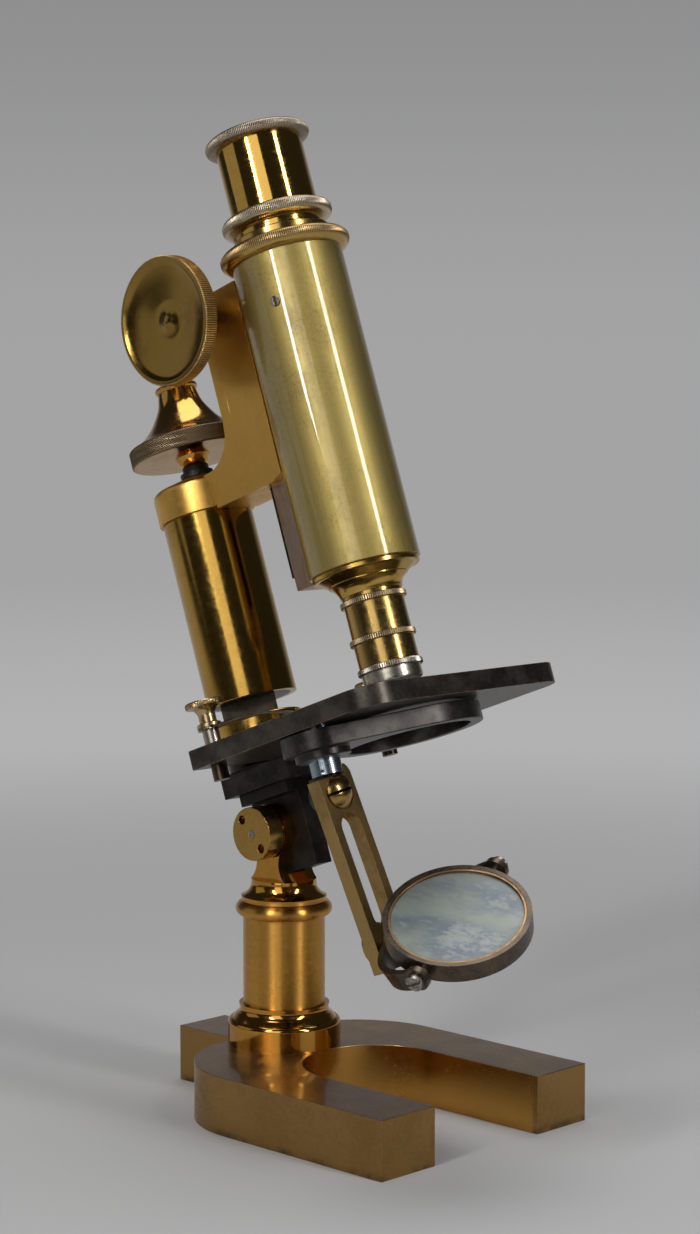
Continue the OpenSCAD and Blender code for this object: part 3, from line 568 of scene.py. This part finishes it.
# Painted shade: a narrow band across the screw, along its slot, is darkened nearly to black.
slot = (0.55 - abs(screw_gold.axis(0))).rise(0, 0.1)
screw_gold.put("Base Color", screw_gold.shade(slot, screw_gold.fed("Base Color"), rgb(0.03, 0.02, 0.012)))
show("bar_screw", solid("mirror_bar_screw", 0.00012), "mirror_hanger", screw_gold,
     ["mirror_bar_screw"])
show("bar_rivet", solid("yoke_rivet", 0.00015), "mirror_arm", screw_gold,
     ["yoke_rivet"])

# Yoke and mirror
# A half ring of flat bronzed strip holds the turned cell between two steel screws. Old silvered glass,
# clouded and spotted, sits in each side of the cell under a thin brass bezel. Its large pale and dark
# patches are partly painted reflection.
yoke_at = limb @ Matrix.Translation((104.1, -32.49, -51.334)) @ Matrix.Rotation(math.radians(31), 4, "X")
yoke_bronze = bronze("yoke_bronze", yoke_at, dark=rgb(0.075, 0.058, 0.045), pale=rgb(0.16, 0.12, 0.08),
                     rough=0.32)
show("yoke_strip", solid("mirror_yoke", 0.0003), "yoke", yoke_bronze, ["mirror_yoke"])
show("yoke_screws", solid("yoke_pivot_screws", 0.0002), "yoke", pin_steel,
     ["yoke_pivot_screws"])
cell_at = yoke_at @ Matrix.Rotation(math.radians(33), 4, "Y")
cell_bronze = bronze("cell_bronze", cell_at, dark=rgb(0.065, 0.052, 0.042), pale=rgb(0.14, 0.105, 0.07),
                     rough=0.30)
show("cell", solid("mirror_cell", 0.0004), "mirror", cell_bronze, ["mirror_cell"])
bezel_gold = brass("bezel_gold", cell_at, rgb(0.34, 0.22, 0.11), rgb(0.16, 0.09, 0.05), lathe(3, 3), 0.30,
                   stained=0.6)
show("bezels", solid("mirror_bezels", 0.00018), "mirror", bezel_gold,
     ["mirror_bezels"])
mirror_glass = Finish("mirror_glass", cell_at, {"Coat Weight": 0.7, "Coat Roughness": 0.3, "Metallic": 0.5})
haze_and_reflection = mirror_glass.noise(mirror_glass.stretched(0.022, 0.055, 0.05), 1.0, 4.0, 0.55)
blot = mirror_glass.noise(mirror_glass.stretched(0.16, 0.30, 0.2), 1.0, 5.0, 0.65)
rim_age = mirror_glass.radius().rise(17.5, 22.6)
# Clouded silvering with painted reflection: large pale and dark patches in the glass's colour stand for what
# it reflects.
silvering_and_reflection = mirror_glass.shade((haze_and_reflection + (blot - 0.5) * 0.25).rise(0.40, 0.62), rgb(0.22, 0.25, 0.22),
                            rgb(0.09, 0.12, 0.16))
silvering_and_reflection = mirror_glass.shade((blot * 0.6 + haze_and_reflection * 0.5).rise(0.56, 0.68) * 0.7, silvering_and_reflection, rgb(0.33, 0.36, 0.32))
silvering_and_reflection = mirror_glass.shade((blot + rim_age * 0.20).rise(0.60, 0.80) * 0.6, silvering_and_reflection, rgb(0.17, 0.15, 0.10))
mirror_glass.put("Base Color", silvering_and_reflection)
mirror_glass.put("Roughness", blot * 0.3 + 0.36)
dress(mirror_glass, "plane_mirror", "concave_mirror")

# Sleeve of the fine adjustment
# A plain brass tube, polished and lacquered a deep gold that has gone brown where it is least handled.
sleeve_gold = brass("sleeve_gold", limb, rgb(0.50, 0.30, 0.062), rgb(0.28, 0.15, 0.038),
                    lathe(0.4, 2.4), 0.13, stained=0.3, cut=0.0000015, patch=0.04, specks=0.25)
sleeve_bore, sleeve_rim, sleeve_low, sleeve_high = 14.3, 16.8, 48.6, 119
sleeve_profile = [(sleeve_bore, sleeve_low), (sleeve_rim, sleeve_low), (sleeve_rim, sleeve_high),
                  (sleeve_bore, sleeve_high)]
show("sleeve", turned(sleeve_profile, ease=0.3), "upper_limb", sleeve_gold,
     ["limb_sleeve"], limb)
dress(bar_steel, "fine_spring")

# Arm and pinion cover
# One casting of brass, filed flat and grained along the tube, with the bearing of the pinion closed by a
# screwed cover. Its collar sits on the sleeve.
arm_gold = brass("arm_gold", limb, rgb(0.78, 0.465, 0.108), rgb(0.50, 0.27, 0.065),
                 filed(2.2, 2.2, 0.10), 0.33, stained=0.3, cut=0.000007, patch=0.05)
show("arm_casting", solid("arm", 0.00035), "upper_limb", arm_gold, ["arm"])
show("bearing_cover", solid("pinion_cover", 0.00025), "upper_limb", arm_gold,
     ["pinion_cover"])
dress(pin_steel, "cover_screws")

# Fine focusing head
# A milled brass disc under a hollow crown that is turned to a narrow neck, with a button on top and a
# black collar below, on a steel screw.
crown_gold = brass("crown_gold", limb, rgb(0.58, 0.33, 0.08), rgb(0.32, 0.15, 0.045), lathe(2.4, 2.4), 0.14,
                   stained=0.35, cut=0.000002)
fine_rim, fine_teeth, fine_slant, fine_top = 22.9, 160, 1.1, 168.3
milled(crown_gold, fine_rim, fine_teeth, fine_slant, rgb(0.32, 0.235, 0.14))
fine_profile = [(2, 139.2), (4.4, 139.2), (5.4, 140.2), (6.2, 141.6), (6.7, 142.7), (22.2, 142.7),
                (22.7, 142.9)]
fine_profile += [(fine_rim, 143.1 + 0.25 * k) for k in range(23)]
fine_profile += [(22.6, 148.9), (22.0, 149.1), (20.5, 149.5)]
fine_profile += [(16.4, 152.2), (13, 155.6), (10.6, 159.1), (8.9, 162), (8.1, 164), (7.4, 167.2),
                 (7.2, fine_top), (2, fine_top)]
fine_head = turned(fine_profile, steps=640, ease=0)
mill(fine_head, fine_rim, fine_teeth, 0.3, fine_slant)
show("fine_milled_head", fine_head, "fine_head", crown_gold, ["fine_knob"], limb)
button_profile = [(0, fine_top), (7.5, fine_top)] + bend(7.0, 169.4, 1.1, -60, 75, 6)
button_profile += [(5.6, 170.5), (0, 170.3)]
show("crown_button", turned(button_profile, ease=0), "fine_head", crown_gold,
     ["fine_knob_button"], limb)
jet = Finish("blackened_collar", limb, {"Metallic": 0.3, "Roughness": 0.42})
jet.put("Base Color", jet.shade(jet.noise(jet.here, 0.6).rise(0.4, 0.7), rgb(0.012, 0.012, 0.013),
                                rgb(0.035, 0.03, 0.028)))
collar_profile = [(3, 134.4), (6.2, 134.4), (6.2, 136.6), (4.9, 136.6), (4.9, 139), (3, 139)]
show("black_collar", turned(collar_profile, ease=0.2), "fine_head", jet,
     ["fine_screw_collar"], limb)
dress(pin_steel, "fine_screw")

# Coarse focusing heads
# Two heavy milled heads on the pinion's shaft, each with a dished face turned to a small cone in the
# middle, and a straight milled rim.
knob_rim, knob_teeth = 23.4, 180
knob_profile = [(0, 28), (2.5, 28), (2.5, 10.4), (5.4, 10.4), (5.4, 19.8), (7, 22.6), (10.5, 24.8),
                (15, 25.8), (22.6, 25.9), (23.2, 26.2), (knob_rim, 26.5), (knob_rim, 30.9), (23.2, 31.3),
                (22.7, 31.5), (21.6, 31.5), (20.6, 30.8), (19.2, 30.1), (14, 29.2), (8.9, 28.8),
                (7.8, 28.3), (4.6, 28.6), (2.2, 29.5), (0, 30.6)]
for node, turn in (("near_coarse_knob", 90), ("far_coarse_knob", -90)):
    shaft_at = limb @ Matrix.Translation((35, 0, 183.1)) @ Matrix.Rotation(math.radians(turn), 4, "X")
    knob_gold = brass(node + "_gold", shaft_at, rgb(0.33, 0.205, 0.048), rgb(0.20, 0.115, 0.032),
                      lathe(3.4, 3.4), 0.18, stained=0.3, cut=0.000009, specks=0.15)
    milled(knob_gold, knob_rim, knob_teeth, crest=rgb(0.66, 0.43, 0.17))
    knob = turned(knob_profile, steps=360, ease=0)
    mill(knob, knob_rim, knob_teeth, 0.3)
    show(node + "_head", knob, "pinion", knob_gold, [node], shaft_at)
dress(bar_steel, "pinion_shaft")

# Slide and rack
# The body tube runs on a dovetailed slide of pale metal soldered to it, with a steel rack let into its
# back.
slide_metal = Finish("slide_metal", limb, {"Metallic": 1.0})
slide_haze = slide_metal.noise(slide_metal.stretched(0.3, 0.3, 0.06), 1.0, 5.0, 0.65)
slide_metal.put("Base Color", slide_metal.shade(slide_haze.rise(0.35, 0.7), rgb(0.52, 0.40, 0.30),
                                                rgb(0.34, 0.20, 0.12)))
slide_metal.put("Roughness", slide_haze * 0.3 + 0.2)
show("dovetail", solid("tube_slide", 0.0002), "body", slide_metal, ["tube_slide"])
dress(bar_steel, "rack", "rack_screws")

# Body tube
# A drawn brass tube with a satin yellow-green lacquer, speckled and scratched with age. A small steel
# screw near its top holds the draw tube's guide.
tube_reach = 71.9
tube = limb @ Matrix.Translation((tube_reach, 0, 0))
body_lacquer = brass("body_lacquer", tube, rgb(0.44, 0.34, 0.11), rgb(0.31, 0.22, 0.07),
                     filed(1.6, 1.6, 0.05), 0.50, stained=0.35, cut=0.000003, patch=0.035, specks=0.3)
body_lacquer.shader.inputs["Coat Weight"].default_value = 1.0
body_lacquer.shader.inputs["Coat Roughness"].default_value = 0.03
tube_bore, tube_rim, tube_low, tube_high = 18.6, 20, 77.7, 192.6
tube_profile = [(tube_bore, tube_low), (tube_rim, tube_low), (tube_rim, tube_high), (tube_bore, tube_high)]
show("main_tube", turned(tube_profile, ease=0.2), "body", body_lacquer,
     ["body_tube"], tube)
screw_steel = Finish("screw_steel", tube, {"Metallic": 1.0, "Roughness": 0.3})
screw_steel.put("Base Color", screw_steel.shade(screw_steel.radius().rise(20.25, 20.45),
                                                rgb(0.02, 0.015, 0.01), rgb(0.28, 0.24, 0.17)))
show("guide_screw", solid("tube_screw", 0.00008), "body", screw_steel, ["tube_screw"])
nose_gold = brass("nose_gold", tube, rgb(0.60, 0.38, 0.09), rgb(0.34, 0.19, 0.05), lathe(2.6, 2.6), 0.18,
                  stained=0.3, cut=0.000003)
thread_bore, nose_low = 10.15, 68.4
nose_profile = [(thread_bore, nose_low), (11.15, nose_low)] + bend(17.2, 67.6, 6.1, 172, 118)
nose_profile += [(14.3, 73.3), (17.5, 75.6), (18.9, 75.6), (19.3, 75.9), (19.3, 77.2), (18.9, 77.5),
                 (18.9, tube_low), (tube_bore, tube_low), (tube_bore, 84), (16.8, 84), (16.8, 79),
                 (thread_bore, 77)]
show("nose", turned(nose_profile, ease=0.08), "body", nose_gold, ["nosepiece"], tube)

# Objective
# Two screwed brass lengths, each with a narrow milled ring, and a nickelled front cell with the front lens.
objective_gold = brass("objective_gold", tube, rgb(0.50, 0.33, 0.10), rgb(0.30, 0.18, 0.065),
                       lathe(2.6, 2.6), 0.18, stained=0.4, cut=0.000003, specks=0.3)
grip_rim, cell_rim, grip_teeth = 11.85, 11.65, 90
barrel_bore, barrel_rim, cell_top, mount_low = 8.2, 10.75, 42.6, 57.5
milled(objective_gold, grip_rim, grip_teeth)
for name, node, low, high, ring in (("objective_upper", "objective_mount", mount_low, nose_low, 66.0),
                                    ("objective_lower", "objective_barrel", cell_top, mount_low, 52.2)):
    shape = [(barrel_bore, low), (barrel_rim, low), (barrel_rim, ring - 1.1), (11.3, ring - 1.1)]
    shape += [(grip_rim, ring - 0.8), (grip_rim, ring), (grip_rim, ring + 0.8), (11.3, ring + 1.1),
              (barrel_rim, ring + 1.1), (barrel_rim, high)]
    if node == "objective_mount":
        shape += [(thread_bore, high), (thread_bore, 72), (barrel_bore, 72)]
    else:
        shape += [(barrel_bore, high)]
    barrel = turned(shape, steps=180, ease=0)
    mill(barrel, grip_rim, grip_teeth, 0.3)
    show(name, barrel, "body", objective_gold, [node], tube)
nickel = Finish("worn_nickel", tube, {"Metallic": 1.0})
nickel_wear = nickel.noise(nickel.here, 0.4, 5.0, 0.7)
nickel.put("Base Color", nickel.shade(nickel_wear.rise(0.42, 0.66), rgb(0.56, 0.52, 0.45),
                                      rgb(0.36, 0.29, 0.20)))
nickel.put("Roughness", nickel_wear * 0.25 + 0.16)
front_profile = [(4, 36), (9.7, 36), (10.4, 36.3), (10.6, 36.9), (10.6, 40.4), (11.2, 40.4),
                 (cell_rim, 40.8), (cell_rim, 41.5), (cell_rim, 42.2), (11.2, cell_top),
                 (barrel_bore, cell_top), (barrel_bore, 44), (6, 44), (6, 37.5), (4, 37)]
front = turned(front_profile, steps=180, ease=0)
mill(front, cell_rim, grip_teeth, 0.3)
show("front_cell", front, "body", nickel, ["objective_front_cell"], tube)
lens_glass = Finish("lens_glass", tube, {"Transmission Weight": 1.0, "IOR": 1.52})
lens_glass.put("Roughness", lens_glass.noise(lens_glass.here, 0.8).rise(0.55, 0.9) * 0.12 + 0.02)
lens_glass.put("Base Color", lens_glass.shade(lens_glass.noise(lens_glass.here, 0.2), rgb(0.93, 0.97, 0.97),
                                              rgb(0.86, 0.93, 0.95)))
dress(lens_glass, "objective_lenses", "eyepiece_lenses")

# Draw tube
# The milled collar at the top of the body guides a polished inner tube, which ends in a milled ring of
# paler metal.
collar_gold = brass("collar_gold", tube, rgb(0.58, 0.38, 0.11), rgb(0.32, 0.19, 0.06), lathe(2.6, 2.6), 0.18,
                    stained=0.35, cut=0.000003)
collar_rim, collar_teeth = 23.6, 200
milled(collar_gold, collar_rim, collar_teeth, crest=rgb(0.56, 0.38, 0.16))
collar_shape = [(15.75, 160), (tube_bore, 160), (tube_bore, tube_high), (20.8, tube_high), (22.2, 193.4),
                (23.2, 194.5),
                (collar_rim, 195.3), (collar_rim, 196), (collar_rim, 196.7), (23.2, 197.4), (22.4, 198.1),
                (21, 198.5), (17.5, 198.6), (17.5, 201.6), (17.1, 202), (15.75, 202)]
collar = turned(collar_shape, steps=400, ease=0)
mill(collar, collar_rim, collar_teeth, 0.26)
show("milled_collar", collar, "body", collar_gold, ["tube_collar"], tube)
draw_gold = brass("draw_gold", tube, rgb(0.60, 0.38, 0.09), rgb(0.38, 0.21, 0.06), lathe(0.4, 2.2), 0.10,
                  stained=0.25, cut=0.0000012)
draw_bore, draw_rim, draw_low, ring_low, ring_high = 14.2, 15.7, 130, 204.5, 210.5
draw_profile = [(draw_bore, draw_low), (draw_rim, draw_low), (draw_rim, ring_low), (draw_bore, ring_low)]
show("inner_tube", turned(draw_profile), "draw", draw_gold, ["draw_tube"], tube)
ring_rim, ring_teeth = 20.1, 180
ring_shape = [(draw_bore, ring_low), (16.65, ring_low), (18.2, 205.1), (19.4, 206), (ring_rim, 207.1),
              (ring_rim, 207.9), (ring_rim, 208.7), (19.4, 209.6), (18.4, 210.2), (17, ring_high),
              (draw_bore, ring_high)]
ring = turned(ring_shape, steps=360, ease=0)
mill(ring, ring_rim, ring_teeth, 0.26)
ring_metal = brass("ring_metal", tube, rgb(0.56, 0.46, 0.28), rgb(0.34, 0.25, 0.13), lathe(2.6, 2.6), 0.22,
                   stained=0.4)
milled(ring_metal, ring_rim, ring_teeth, crest=rgb(0.58, 0.51, 0.38))
show("milled_ring", ring, "draw", ring_metal, ["draw_tube_ring"], tube)

# Eyepiece
# A polished brass barrel that slides in the draw tube, under a dark milled cap with a dished eye opening.
eye_gold = brass("eye_gold", tube, rgb(0.60, 0.37, 0.08), rgb(0.34, 0.18, 0.045), lathe(0.4, 2.2), 0.08,
                 stained=0.2, cut=0.0000008, specks=0.25)
eye_bore, eye_low, cap_low = 13, 182, 236.1
barrel_shape = [(eye_bore, eye_low), (14.15, eye_low), (14.15, ring_high), (draw_rim, ring_high),
                (draw_rim, cap_low), (eye_bore, cap_low)]
show("eye_barrel", turned(barrel_shape, ease=0.1), "eyepiece", eye_gold,
     ["eyepiece_barrel"], tube)
cap_rim, cap_teeth = 19.1, 180
cap_metal = brass("cap_metal", tube, rgb(0.30, 0.24, 0.17), rgb(0.16, 0.11, 0.07), lathe(2.6, 2.6), 0.28,
                  stained=0.5)
milled(cap_metal, cap_rim, cap_teeth, crest=rgb(0.52, 0.45, 0.36))
cap_shape = [(4.5, 237.4), (eye_bore, 236.9), (eye_bore, cap_low), (16.9, cap_low), (17.9, 236.3),
             (18.7, 236.9), (cap_rim, 237.7), (cap_rim, 238.15), (cap_rim, 238.6), (18.7, 239.4),
             (17.9, 240), (16.9, 240.2), (12.5, 240.2), (8, 239.1), (4.5, 238.4)]
cap = turned(cap_shape, steps=360, ease=0)
mill(cap, cap_rim, cap_teeth, 0.28)
show("eye_cap", cap, "eyepiece", cap_metal, ["eyepiece_cap"], tube)
